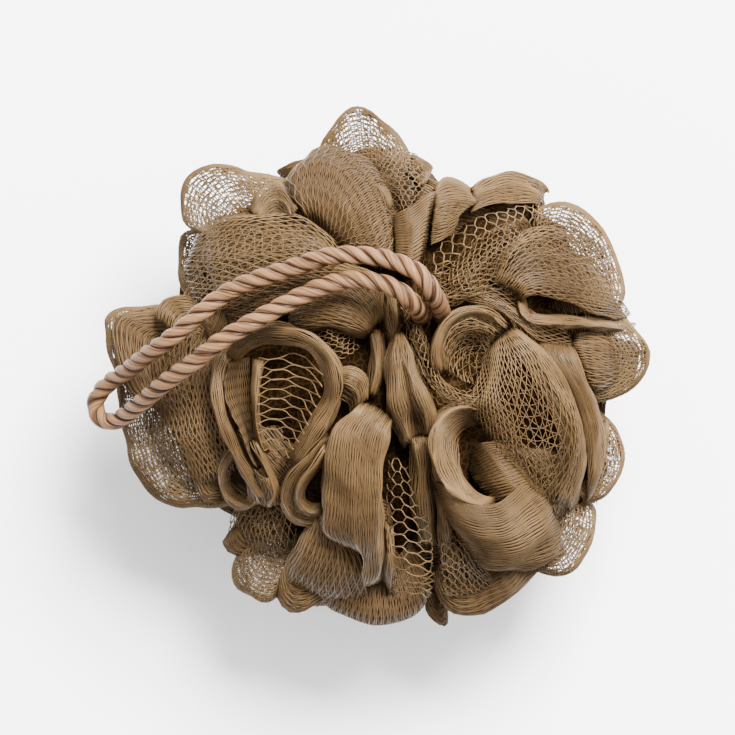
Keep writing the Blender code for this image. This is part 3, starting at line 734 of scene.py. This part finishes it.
LEFT_FOLDS = {
    "hood": ("rib", lip((
        (-41, 2, -5), (-37.5, 7.2, -3), (-31, 10.2, -1), (-23, 10.2, 0), (-16.5, 7.6, 0), (-12, 2.7, -1),
        (-10, -3, -2), (-10.6, -8.8, -4), (-13.6, -15.2, -6), (-17.8, -21.3, -8), (-22, -27, -10),
    ), -1, 4.4, 9)),
    "window": ("window over", (
        ((-31.4, 2.5, -5), (-32.2, -7, -5), (-32.2, -15, -7), (-30.2, -23, -10)),
        ((-28.5, 3.5, -8), (-28.5, -7, -9), (-28.9, -15, -10), (-29, -24, -12)),
        ((-23.5, 4, -8), (-23.5, -7, -10), (-25, -15, -11), (-27.5, -25, -12)),
        ((-18.5, 2.5, -7), (-18.5, -7, -9), (-21.5, -15, -10), (-26, -25.5, -12)),
        ((-14.5, -0.5, -3), (-14.8, -8, -3), (-18.5, -16, -5), (-24.5, -26, -10)),
    )),
    "window_post": ("rib", lip((
        (-31.2, 2.5, -5), (-32, -7, -5), (-32, -15, -7), (-30, -23, -10),
    ), -1, 1.5, 9)),
    "left_cheek": ("lined", (
        ((-39.5, 2, -6), (-40, -6, -5), (-38.3, -13, -5), (-35.3, -20, -6), (-31.5, -27, -8)),
        ((-37.5, 2.5, -12), (-37.3, -6, -13), (-36, -13, -13), (-33.5, -20, -13), (-30.5, -26, -13)),
        ((-34, 3, -13), (-33.7, -6, -14), (-33, -13, -15), (-31.5, -20, -15), (-29.5, -26, -15)),
    )),
    "left_loop": ("rib", lip((
        (-40, 6.5, -6), (-42.5, 2, -4), (-43.6, -4, -3), (-42.6, -12, -3), (-40, -19.5, -4),
        (-36, -27.5, -6), (-30.5, -36, -10),
    ), 1, 3.8, 9)),
    "left_loop_back": ("rib", lip((
        (-33.6, -19, -9), (-30, -26.5, -9), (-27.6, -33.3, -11), (-29.6, -37, -13),
    ), 1, 1.6, 8)),
    "left_pocket": ("rib", lip((
        (-38, -20.5, -9), (-42, -27.5, -10), (-41.2, -34, -13), (-36.9, -37.2, -15), (-32.6, -36.2, -15),
        (-32.6, -31, -12), (-35, -25, -9),
    ), 1, 2.6, 9)),
    "left_triangle": ("band", (
        ((-35, -25, -11), (-33.5, -31, -13), (-33, -36.5, -17)),
        ((-32, -27, -7), (-30.7, -32, -9), (-30, -37, -15)),
        ((-29.5, -29, -8), (-28, -33, -10), (-27.3, -36.7, -15)),
        ((-28, -28, -15), (-26, -32, -17), (-25.5, -36, -20)),
    )),
    "curl": ("rib", lip((
        (-13.5, -17.2, -9), (-18.5, -23.3, -8), (-23.5, -28.8, -9), (-25.3, -34.7, -11),
        (-23.2, -39.8, -13), (-18.2, -41.8, -14), (-12.5, -41, -15),
    ), 1, 3.4, 8)),
    "curl_inner": ("rib", lip((
        (-13.5, -20, -5), (-17, -25.6, -5), (-20.5, -30.3, -5), (-21.5, -34.4, -7), (-20.4, -37.2, -9),
        (-17.5, -38.8, -11), (-13, -38.3, -12),
    ), 1, 2.2, 9)),
    "left_slope": ("net", (
        ((-40, 6, -9), (-43, -4, -8), (-42, -16, -9), (-38, -28, -13)),
        ((-45, 8, -8), (-48, -4, -6), (-47, -17, -7), (-42, -30, -12)),
        ((-51, 10, -9), (-54, -4, -7), (-52, -18, -8), (-47, -32, -14)),
        ((-57, 11, -13), (-60, -4, -11), (-58, -19, -13), (-52, -34, -19)),
        ((-62, 11, -22), (-64, -4, -21), (-62, -20, -23), (-56, -35, -28)),
    )),
    "left_slope_under": ("lined", (
        ((-42, 8, -16), (-45, -4, -14), (-44, -16, -14), (-40, -29, -19)),
        ((-48, 9, -14), (-51, -4, -12), (-49, -17, -13), (-44, -31, -19)),
        ((-54, 10, -18), (-57, -4, -17), (-55, -18, -18), (-49, -33, -24)),
    )),
    "low_dark": ("net over", (
        ((-38, -35, -30), (-33, -37, -25), (-28, -38, -22), (-23, -36, -24)),
        ((-40, -40, -30), (-34, -43, -22), (-28, -43.5, -19), (-22, -42, -21)),
        ((-40, -45, -33), (-35, -48, -27), (-28, -49, -23), (-21, -48, -24)),
        ((-37, -50, -38), (-32, -53, -34), (-27, -54, -31), (-21, -54, -30)),
    )),
    "diagonal_sheet": ("lined", (
        ((-17, -38, -20), (-21.5, -47, -19), (-26, -56, -23), (-29, -62, -30)),
        ((-15.5, -38, -15), (-18.5, -47, -11), (-23, -56, -12), (-26.5, -63, -20)),
        ((-14, -39, -13), (-14.5, -48, -8), (-17.5, -57, -8), (-20.5, -65, -17)),
        ((-11.5, -41, -13), (-9.5, -50, -8), (-10.5, -58, -8), (-12.5, -65, -16)),
        ((-8, -44, -14), (-4, -53, -10), (-3, -60, -11), (-4, -66, -17)),
    )),
}


# Lobes round the outline: rim points in plan, the rim's height, the root's place, all in millimetres,
# how far its two layers swell apart, and the style.
OUTLINE_LOBES = {
    "top": (
        ((-16, 57), (-14.5, 62), (-11.5, 67), (-7, 69.8), (-2, 69), (3, 65.5), (7, 60.5), (9.5, 55)),
        58, (-2, 42, 62), 5, "sheer",
    ),
    "upper_left": (
        ((-49, 36), (-52.5, 40), (-53, 46), (-50.5, 51.5), (-45, 54.6), (-39, 54.5), (-33, 52.8),
         (-27, 51.3), (-21, 49)),
        60, (-30, 36, 64), 6, "sheer",
    ),
    "pale": (((-46, 37), (-52.8, 36), (-54, 29), (-53, 22), (-47, 16)), 48, (-36, 26, 52), 4, "sheer"),
    "big_left": (
        ((-48, 17.5), (-60, 16.5), (-70, 16), (-73.6, 14), (-73.7, 10), (-72, 0), (-70.3, -10), (-69, -20),
         (-65.5, -29), (-60.5, -36.5), (-55, -38.5), (-48, -38), (-38, -36.5)),
        52, (-36, -8, 56), 7, "sheer",
    ),
    "big_left_inner": (
        ((-48, 16), (-62, 15.2), (-70.6, 14), (-71.8, 8), (-70, 0), (-66.5, -7), (-59, -12), (-53.5, -20),
         (-49.5, -29), (-47, -36), (-42, -36.5)),
        60, (-36, -8, 60), 6, "lined",
    ),
    "small_left": (
        ((-59, 13), (-57.5, 18), (-53, 19.7), (-49, 18.5), (-45, 14)),
        66, (-46, 6, 68), 4, "band",
    ),
    "left_corner": (
        ((-36, -36), (-38, -41), (-41.6, -46.5), (-41, -49), (-38, -51.5), (-32, -51)),
        46, (-24, -36, 52), 5, "lined",
    ),
    "low_left": (
        ((-36, -48), (-39.3, -53), (-39, -58), (-36, -62), (-32, -63.8), (-28.5, -63), (-25, -59)),
        44, (-22, -42, 52), 6, "sheer",
    ),
    "low_sheet": (
        ((-24, -52), (-27.3, -58), (-27, -63), (-24, -66.2), (-20, -66), (-16, -64), (-10, -61)),
        52, (-14, -40, 60), 5, "lined",
    ),
    "bottom": (
        ((-17, -58), (-15, -64), (-10, -67.5), (-5, -69.6), (1, -70.3), (7, -69.8), (11.5, -67), (14, -62),
         (14, -54)),
        50, (1, -42, 58), 7, "band over",
    ),
    "leaf_tip": (
        ((12, -60), (14, -66.5), (17, -69.7), (18.7, -70.3), (18.7, -66), (18, -59)),
        44, (15, -46, 52), 3, "lined",
    ),
    "low_right": (
        ((15, -56), (16.5, -63.5), (20, -67), (25.5, -67.5), (31, -65.2), (36, -62.5), (40, -59),
         (45, -54)),
        50, (25, -42, 58), 7, "lined",
    ),
    "right_low": (
        ((56, -35), (59.3, -39), (59, -45), (57, -50.5), (53.5, -55), (49, -56.5), (43, -55)),
        48, (42, -36, 56), 6, "sheer",
    ),
    "right_side": (
        ((56, -9), (61.5, -13.5), (65.5, -17.5), (67, -23), (65.5, -30), (61.5, -35.5), (56, -37)),
        52, (46, -22, 58), 6, "sheer",
    ),
    "right": (
        ((62, 19), (68, 13), (71.5, 8), (73.7, 4), (72.8, -1), (69, -5.5), (63, -8.7), (56, -10)),
        60, (48, 4, 62), 6, "sheer",
    ),
    "upper_right": (
        ((42, 42.5), (49, 44.3), (55, 42.5), (60, 38), (64, 31), (66.5, 24), (66.3, 18), (62, 13)),
        62, (44, 22, 64), 6, "sheer",
    ),
    "far_right": (
        ((24, 44), (28.5, 50), (34, 51.7), (39, 51.4), (44, 49.2), (45, 43)),
        54, (30, 32, 58), 5, "lined",
    ),
}


class Style:
    """How the net lies on a fold: the lines' spacing, the distance between joints, the points from one
    joint to the next, how square its swing is, the strands' thickness as a share of the usual, and
    whether a fine layer lies beneath."""

    def __init__(self, spacing, cell, steps, sharpness, thickness, lined):
        self.spacing = spacing * MM
        self.cell = cell * MM
        self.steps = steps
        self.sharpness = sharpness
        self.thickness = thickness
        self.lined = lined


STYLES = {
    "band": Style(0.70, 8.0, 4, 0.6, 0.80, True),
    "rib": Style(0.62, 7.0, 4, 0.6, 0.82, False),
    "lined": Style(0.90, 5.5, 3, 0.8, 0.85, True),
    "net": Style(0.95, 2.8, 2, 1.1, 0.84, False),
    "sheer": Style(0.74, 2.4, 2, 0.8, 1.0, False),
    "open": Style(1.35, 1.75, 3, 1.7, 0.85, False),
    "window": Style(1.75, 4.6, 5, 1.5, 1.0, False),
    "ladder": Style(2.0, 4.4, 5, 1.5, 1.0, False),
    "cross": Style(0.78, 3.0, 2, 0.5, 0.82, False),
    "arcs": Style(1.35, 3.6, 3, 1.2, 0.95, True),
    "row": Style(1.0, 6.0, 2, 0.65, 0.92, True),
    "tangle": Style(1.6, 3.4, 2, 1.3, 0.75, False),
}


SHEER = ("sheer", "cross")  # the styles of the lobes that the floor shows through
WITH_TANGLE = ("net", "open")  # the styles that a crossing layer lies under


# Gathered rows: latitude, swing, overhang, waves, share of the reach, half thickness, seed.
ROWS = {
    "netting_front": ((0.32, 0.12, 0.045, 10, 0.80, 0.0022, 7),),
    "netting_middle": (
        (0.10, 0.14, 0.045, 11, 0.85, 0.0024, 3), (-0.10, 0.14, 0.05, 12, 0.88, 0.0022, 4),
        (-0.30, 0.13, 0.045, 11, 0.90, 0.0024, 9),
    ),
    "netting_back": (
        (-0.52, 0.13, 0.05, 11, 0.91, 0.0024, 5), (-0.76, 0.12, 0.06, 10, 0.90, 0.0024, 6),
        (-1.00, 0.11, 0.07, 9, 0.88, 0.0024, 10), (-1.24, 0.10, 0.09, 8, 0.86, 0.0022, 11),
    ),
}  # fmt: skip


# Materials ---------------------------------------------------------------------------------------


def new_material(name, roughness, shine=0.5):
    """A Principled material: the material, its node tree and its shader."""
    finish = bpy.data.materials.new(name)
    finish.use_nodes = True
    tree = finish.node_tree
    shader = tree.nodes["Principled BSDF"]
    shader.inputs["Roughness"].default_value = roughness
    shader.inputs["Specular IOR Level"].default_value = shine
    return finish, tree, shader


def node(tree, kind, **values):
    """A new node, with values for its sockets or settings by name."""
    made = tree.nodes.new(kind)
    for key, value in values.items():
        if key in made.inputs:
            made.inputs[key].default_value = value
        else:
            setattr(made, key, value)
    return made


def ramp(tree, source, stops):
    """A colour ramp over a value, from (place, colour) stops."""
    made = tree.nodes.new("ShaderNodeValToRGB")
    while len(made.color_ramp.elements) < len(stops):
        made.color_ramp.elements.new(0.5)
    for element, (place, colour) in zip(made.color_ramp.elements, stops):
        element.position = place
        element.color = (*colour, 1.0)
    tree.links.new(source, made.inputs["Fac"])
    return made.outputs["Color"]


def maths(tree, operation, *values):
    """A maths node over values, each a number or another node's output."""
    made = node(tree, "ShaderNodeMath", operation=operation)
    for socket, value in zip(made.inputs, values):
        if isinstance(value, (int, float)):
            socket.default_value = value
        else:
            tree.links.new(value, socket)
    return made.outputs["Value"]


def raised_by(tree, shader, height):
    """Raises the finish a little where a value is high."""
    bump = node(tree, "ShaderNodeBump", Strength=0.5, Distance=0.0003)
    tree.links.new(height, bump.inputs["Height"])
    tree.links.new(bump.outputs["Normal"], shader.inputs["Normal"])


def net_material(name, dark, light):
    """Extruded plastic strand: brown that drifts between two tones over the folds, with a soft gloss."""
    finish, tree, shader = new_material(name, 0.42, 0.16)
    place = node(tree, "ShaderNodeTexCoord")
    drift = node(tree, "ShaderNodeTexNoise", Scale=55.0, Detail=3.0)
    tree.links.new(place.outputs["Object"], drift.inputs["Vector"])
    tree.links.new(ramp(tree, drift.outputs["Fac"], ((0.3, dark), (0.7, light))), shader.inputs["Base Color"])
    return finish


def lining_material(name, dark, light):
    """A finer layer of net under the strands: two sets of lines at a small angle, by the piece's own map
    in millimetres. The gaps between are painted near black: painted shade of the pouf's inside seen through
    the net."""
    finish, tree, shader = new_material(name, 0.8, 0.08)
    place = node(tree, "ShaderNodeUVMap", uv_map="Net")
    lines = []
    for angle in (-0.10, 0.13):
        turned = node(tree, "ShaderNodeMapping", Rotation=(0, 0, angle))
        wave = node(tree, "ShaderNodeTexWave", Scale=0.47, Distortion=1.2, Detail=1.0, bands_direction="Y")
        wave.inputs["Detail Scale"].default_value = 0.5
        tree.links.new(place.outputs["UV"], turned.inputs["Vector"])
        tree.links.new(turned.outputs["Vector"], wave.inputs["Vector"])
        lines.append(wave.outputs["Fac"])
    both = maths(tree, "MAXIMUM", *lines)
    # The gaps take 0.22 of the dark tone: painted shade seen through the fine net.
    gap_shade = tuple(0.22 * tone for tone in dark)
    colour = ramp(tree, both, ((0.3, gap_shade), (0.72, dark), (1.0, light)))
    tree.links.new(colour, shader.inputs["Base Color"])
    raised_by(tree, shader, both)
    return finish


def packed_net_shade_material():
    """Net packed tight round the waist, with fine crossing lines: lines and cells both near black, painted
    shade of the pouf's deep inside.
    """
    finish, tree, shader = new_material("packed_net_painted_shade", 1.0, 0.0)
    place = node(tree, "ShaderNodeTexCoord")
    lines = node(tree, "ShaderNodeTexVoronoi", feature="DISTANCE_TO_EDGE", Scale=520.0)
    tree.links.new(place.outputs["Object"], lines.inputs["Vector"])
    # Both tones are far darker than the net's own: painted shade of the pouf's deep inside.
    stops = ((0.02, (0.024, 0.013, 0.005)), (0.10, (0.008, 0.004, 0.0016)))
    tree.links.new(ramp(tree, lines.outputs["Distance"], stops), shader.inputs["Base Color"])
    return finish


def cord_material(yarn_dark_and_groove_shade, yarn_light_and_crown_highlight):
    """Satin yarn: fine filaments that run along each strand by the piece's own map, with a painted highlight
    on the strand's outer side and painted shade in the grooves, by the cosine of its share round the strand."""
    finish, tree, shader = new_material("satin_cord", 0.46, 0.1)
    place = node(tree, "ShaderNodeUVMap", uv_map="Yarn")
    spread = node(tree, "ShaderNodeMapping", Scale=(13.0, 0.7, 1.0), Rotation=(0, 0, 0.02))
    yarn = node(tree, "ShaderNodeTexNoise", Scale=1.0, Detail=2.0)
    tree.links.new(place.outputs["UV"], spread.inputs["Vector"])
    tree.links.new(spread.outputs["Vector"], yarn.inputs["Vector"])
    split = tree.nodes.new("ShaderNodeSeparateXYZ")
    tree.links.new(place.outputs["UV"], split.inputs["Vector"])
    # Painted light: the cosine lightens each strand's outer side and darkens the grooves between strands.
    crown = maths(tree, "COSINE", maths(tree, "MULTIPLY", split.outputs["X"], 2 * math.pi))
    uneven = maths(tree, "MULTIPLY_ADD", yarn.outputs["Fac"], 2.4, -1.0)
    lit = maths(tree, "MULTIPLY_ADD", crown, 0.7, uneven)
    tree.links.new(ramp(tree, lit, ((0.26, yarn_dark_and_groove_shade), (0.98, yarn_light_and_crown_highlight))), shader.inputs["Base Color"])
    raised_by(tree, shader, yarn.outputs["Fac"])
    return finish


# Settings ----------------------------------------------------------------------------------------


class PoufNetSettings(bpy.types.PropertyGroup):
    """Settings of the netting"""

    strand_radius: FloatProperty(
        name="Strand Radius", description="Half the thickness of a net strand", default=0.00019, unit="LENGTH"
    )
    dark: FloatVectorProperty(
        name="Dark", description="Darker tone of the net", default=(0.056, 0.031, 0.012), subtype="COLOR"
    )
    light: FloatVectorProperty(
        name="Light", description="Lighter tone of the net", default=(0.118, 0.071, 0.030), subtype="COLOR"
    )
    # The fine net's tones; the gaps between its lines take 0.22 of the darker one as painted shade.
    fine_dark: FloatVectorProperty(
        name="Fine Dark",
        description="Darker tone of the fine net",
        default=(0.026, 0.014, 0.0055),
        subtype="COLOR",
    )
    fine_light: FloatVectorProperty(
        name="Fine Light",
        description="Lighter tone of the fine net",
        default=(0.074, 0.043, 0.018),
        subtype="COLOR",
    )


class PoufCordSettings(bpy.types.PropertyGroup):
    """Settings of the hanging cord"""

    diameter: FloatProperty(
        name="Diameter", description="Thickness of the twisted cord", default=0.005, unit="LENGTH"
    )
    lay: FloatProperty(
        name="Lay", description="Length in which one strand goes once round", default=0.0150, unit="LENGTH"
    )
    strands: IntProperty(
        name="Strands", description="Strands twisted together", default=3, min=2, max=6, subtype="UNSIGNED"
    )
    # The yarn's tones: the darker also paints shade in the grooves, the lighter a highlight on the strands'
    # outer sides.
    dark: FloatVectorProperty(
        name="Dark", description="Darker tone of the yarn", default=(0.024, 0.010, 0.0048), subtype="COLOR"
    )
    light: FloatVectorProperty(
        name="Light", description="Lighter tone of the yarn", default=(0.160, 0.083, 0.039), subtype="COLOR"
    )


class PoufStageSettings(bpy.types.PropertyGroup):
    """Settings of the view"""

    lens: FloatProperty(name="Lens", description="Focal length in millimetres", default=250.0, unit="CAMERA")
    seen_width: FloatProperty(
        name="Seen Width", description="Width in view at the rim's height", default=0.1985, unit="LENGTH"
    )


# Operators ---------------------------------------------------------------------------------------


def strands_on(grid, look, number, radius):
    """The strands of one fold, over a crossing layer where its net is open. Returns a list of parts."""
    style = STYLES[look]
    top = net_on(grid, style, radius * style.thickness, SEED + number)
    if look not in WITH_TANGLE:
        return [top]
    deeper = (grid - surface_normals(grid) * TANGLE_DEPTH).transpose(1, 0, 2)
    return [net_on(deeper, STYLES["tangle"], radius * TANGLE_THICKNESS, SEED - number), top]


def fine_net_on(grid):
    """A thin sheet under one fold, on every second row and column where the grid is fine."""
    coarse = grid[:: 2 if len(grid) > 60 else 1, :: 2 if grid.shape[1] > 60 else 1]
    return skin_on(coarse, FINE_THICKNESS, FINE_INSET)


def finished(name, part, finish, node_name):
    """A netting piece in place of its frame node, which is hidden."""
    piece = new_piece(name, part, finish)
    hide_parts(node_name)
    return piece


def net_piece(name, grids, node_name, context):
    """Lays net on several grids as one piece of strands, and one of fine net beneath where the style has it.
    Each grid comes with its style's name."""
    settings = context.scene.pouf_net
    strands = []
    for number, (grid, look) in enumerate(grids):
        strands += strands_on(grid, look, number, settings.strand_radius)
    finish = net_material(name + "_strand", settings.dark, settings.light)
    finished(name, joined(strands), finish, node_name)
    linings = [fine_net_on(grid) for grid, look in grids if STYLES[look].lined]
    if linings:
        finish = lining_material(name + "_fine_net", settings.fine_dark, settings.fine_light)
        piece = finished(name + "_fine", joined([part for part, _ in linings]), finish, node_name)
        mapped(piece, "Net", np.concatenate([places for _, places in linings]))


def fold_grids(folds, seed):
    """The grids of a set of listed folds, each with its style."""
    grids = []
    for number, (look, rails) in enumerate(folds.values()):
        style, *way = look.split()
        grids.append((fold_grid(rails, "over" in way, seed + number), style))
    return grids


def lobe_grids():
    """The grids of the outline's lobes, each with its style. A sheer lobe also has a rib along its rim and
    a layer that crosses its bands."""
    grids = []
    for number, (rim, height, root, swell, look) in enumerate(OUTLINE_LOBES.values()):
        grid = lobe_grid(rim, height, root, swell, SEED + number)
        crossing = grid.transpose(1, 0, 2)[:, ::-1]
        style, *way = look.split()
        grids.append((crossing if way else grid, style))
        if style == "sheer":
            middle = len(grid) // 2
            grids += [(grid[middle - 2 : middle + 2], "rib"), (crossing, "cross")]
    return grids


class POUF_OT_front_folds(bpy.types.Operator):
    """Make the folds that open towards the front"""

    bl_idname = "pouf.front_folds"
    bl_label = "Front Folds"

    def execute(self, context):
        sets = {"upper": UPPER_FOLDS, "right": RIGHT_FOLDS, "lower": LOWER_FOLDS, "left": LEFT_FOLDS}
        for number, (name, folds) in enumerate(sets.items()):
            net_piece(f"front_folds_{name}", fold_grids(folds, SEED + 100 * number), "netting_front", context)
        return {"FINISHED"}


class POUF_OT_lobes(bpy.types.Operator):
    """Make the lobes round the outline"""

    bl_idname = "pouf.lobes"
    bl_label = "Outline Lobes"

    def execute(self, context):
        grids = lobe_grids()
        net_piece("sheer_lobes", [each for each in grids if each[1] in SHEER], "netting_middle", context)
        net_piece("dense_lobes", [each for each in grids if each[1] not in SHEER], "netting_middle", context)
        return {"FINISHED"}


class POUF_OT_rows(bpy.types.Operator):
    """Make the gathered rows of net round the sides and back"""

    bl_idname = "pouf.rows"
    bl_label = "Gathered Rows"

    def execute(self, context):
        for node_name, specs in ROWS.items():
            for number, spec in enumerate(specs):
                net_piece(f"{node_name}_row_{number + 1}", [(row_grid(*spec), "row")], node_name, context)
        return {"FINISHED"}


class POUF_OT_core(bpy.types.Operator):
    """Make the tightly packed net round the waist"""

    bl_idname = "pouf.core"
    bl_label = "Packed Net"

    def execute(self, context):
        # The packed net's near-black finish is painted shade of the pouf's inside.
        piece = new_piece("packed_net_painted_shade", closed_tube(packed_rings()), packed_net_shade_material())
        return {"FINISHED"}


class POUF_OT_cord(bpy.types.Operator):
    """Twist the hanging cord along its route and finish the tie"""

    bl_idname = "pouf.cord"
    bl_label = "Hanging Cord"

    def execute(self, context):
        settings = context.scene.pouf_cord
        route = spline(np.array(CORD_ROUTE) * MM, 1100)
        part, yarn = twisted(route, settings.diameter, settings.lay, settings.strands)
        finish = cord_material(settings.dark, settings.light)
        piece = new_piece("hanging_cord_twist", part, finish)
        mapped(piece, "Yarn", yarn)
        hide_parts("hanging_cord")
        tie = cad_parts["binding_tie"]
        tie.data.materials.clear()
        tie.data.materials.append(tie_material(settings.dark, settings.light))
        return {"FINISHED"}


def tie_material(dark, light):
    """The tie's yarn, by noise stretched round the gathered centre."""
    finish, tree, shader = new_material("tie_yarn", 0.5)
    place = node(tree, "ShaderNodeTexCoord")
    yarn = node(tree, "ShaderNodeTexNoise", Scale=900.0, Detail=2.0)
    tree.links.new(place.outputs["Object"], yarn.inputs["Vector"])
    tree.links.new(ramp(tree, yarn.outputs["Fac"], ((0.3, dark), (0.7, light))), shader.inputs["Base Color"])
    return finish


def carried_frames(route):
    """Two directions square to a route at each point, carried along it without twist: each is the last one
    with the new forward part taken out."""
    forward = unit(np.gradient(route, axis=0))
    side = np.empty_like(forward)
    side[0] = unit(np.cross(forward[0], (0.3, 0.2, 1.0)))
    for i in range(1, len(route)):
        flat = side[i - 1] - forward[i] * np.dot(side[i - 1], forward[i])
        side[i] = flat / np.linalg.norm(flat)
    return side, np.cross(forward, side)


def strand_rings(route, side, up, turn, offset, radius, sides):
    """Rings of one strand, wound round the route at an offset. Each is egg-shaped, wider across than out."""
    out = np.cos(turn)[:, None] * side + np.sin(turn)[:, None] * up
    centre = route + out * offset
    forward = unit(np.gradient(centre, axis=0))
    across = unit(np.cross(forward, out))
    out = np.cross(across, forward)
    around = np.arange(sides) * 2 * math.pi / sides
    ring = np.cos(around)[:, None] * out[:, None] + EGG * np.sin(around)[:, None] * across[:, None]
    return centre[:, None] + ring * radius


def strand_map(along, sides, strand):
    """For each corner of a strand's quads, its share round the strand and its length along in centimetres,
    and then the same for the corners of its caps."""
    first = np.arange(sides) / sides
    u = np.stack((first, first, first + 1 / sides, first + 1 / sides), -1)
    u = np.broadcast_to(u[None], (len(along) - 1, sides, 4)) + strand
    v = np.stack((along[:-1], along[1:], along[1:], along[:-1]), -1)[:, None, :]
    v = np.broadcast_to(v, u.shape) / 0.01
    return np.stack((u, v), -1).reshape(-1, 2), np.zeros((sides * 6, 2)) + (strand + 0.5, 0.0)


def twisted(route, diameter, lay, strands, sides=14):
    """Strands wound round a route with a right-hand lay: each turns once in the length of the lay. Returns
    the mesh, and the map for each corner of its faces."""
    side, up = carried_frames(route)
    along = np.concatenate(([0], np.cumsum(np.linalg.norm(np.diff(route, axis=0), axis=1))))
    radius = diameter * STRAND_SHARE
    parts, maps = [], []
    for strand in range(strands):
        turn = 2 * math.pi * (along / lay + strand / strands)
        rings = strand_rings(route, side, up, turn, diameter / 2 - radius, radius, sides)
        parts.append(closed_tube(rings))
        maps.append(strand_map(along, sides, strand))
    return joined(parts), np.concatenate([m[0] for m in maps] + [m[1] for m in maps])


def mapped(piece, name, places):
    """Gives a piece a named map from one place for each corner."""
    layer = piece.data.uv_layers.new(name=name)
    layer.uv.foreach_set("vector", np.ascontiguousarray(places, dtype=np.float32).ravel())


class POUF_OT_stage(bpy.types.Operator):
    """Add the floor, the studio lights and the camera above the pouf"""

    bl_idname = "pouf.stage"
    bl_label = "Stage"

    def execute(self, context):
        settings = context.scene.pouf_stage
        bpy.ops.mesh.primitive_plane_add(size=FLOOR_SIZE, location=(0, 0, -FLOOR_GAP))
        floor = context.object
        floor.name = floor.data.name = "studio_floor"
        finish, tree, shader = new_material("studio_paper", 0.9)
        grain = node(tree, "ShaderNodeTexNoise", Scale=60.0)
        colour = ramp(tree, grain.outputs["Fac"], ((0.0, (0.94, 0.94, 0.94)), (1.0, (0.97, 0.97, 0.97))))
        tree.links.new(colour, shader.inputs["Base Color"])
        floor.data.materials.append(finish)
        for light in LIGHTS:
            area_light(*light)
        world = bpy.data.worlds.new("studio")
        world.use_nodes = True
        air = world.node_tree.nodes["Background"]
        air.inputs["Color"].default_value = (1, 1, 1, 1)
        air.inputs["Strength"].default_value = AIR_STRENGTH
        context.scene.world = world
        camera = bpy.data.objects.new("camera", bpy.data.cameras.new("camera"))
        camera.data.lens = settings.lens
        camera.data.sensor_width = SENSOR_WIDTH
        camera.data.clip_end = 20.0
        distance = settings.seen_width * settings.lens / SENSOR_WIDTH
        camera.location = (VIEW_MIDDLE, 0.0, RIM_HEIGHT + distance)
        context.collection.objects.link(camera)
        context.scene.camera = camera
        return {"FINISHED"}


def area_light(name, place, size, power):
    """A square light that faces the pouf."""
    lamp = bpy.data.lights.new(name, "AREA")
    lamp.size = size
    lamp.energy = power
    light = bpy.data.objects.new(name, lamp)
    light.location = place
    x, y, z = np.array(place) - (0, 0, 0.05)
    light.rotation_euler = (math.atan2(math.hypot(x, y), z), 0, math.atan2(x, -y))
    bpy.context.collection.objects.link(light)


class POUF_PT_panel(bpy.types.Panel):
    """The pouf's pieces and settings"""

    bl_idname = "POUF_PT_panel"
    bl_label = "Bath Pouf"
    bl_space_type = "VIEW_3D"
    bl_region_type = "UI"
    bl_category = "Pouf"

    def draw(self, context):
        for operator in OPERATORS:
            self.layout.operator(operator.bl_idname)
        for group in SETTINGS:
            settings = getattr(context.scene, group)
            for key in settings.__annotations__:
                self.layout.prop(settings, key)


OPERATORS = (
    POUF_OT_stage, POUF_OT_cord, POUF_OT_core, POUF_OT_front_folds, POUF_OT_lobes, POUF_OT_rows
)  # fmt: skip
SETTINGS = {"pouf_net": PoufNetSettings, "pouf_cord": PoufCordSettings, "pouf_stage": PoufStageSettings}


def register():
    """Adds the settings, the operators and the panel."""
    for group in (*SETTINGS.values(), *OPERATORS, POUF_PT_panel):
        bpy.utils.register_class(group)
    for name, group in SETTINGS.items():
        setattr(bpy.types.Scene, name, PointerProperty(type=group))


def unregister():
    """Takes the settings, the operators and the panel away."""
    for name in SETTINGS:
        delattr(bpy.types.Scene, name)
    for group in (POUF_PT_panel, *OPERATORS, *SETTINGS.values()):
        bpy.utils.unregister_class(group)


def main():
    """Makes every piece and the stage."""
    register()
    bpy.ops.pouf.stage()
    bpy.ops.pouf.cord()
    bpy.ops.pouf.core()
    bpy.ops.pouf.front_folds()
    bpy.ops.pouf.lobes()
    bpy.ops.pouf.rows()


if __name__ == "__main__":
    main()
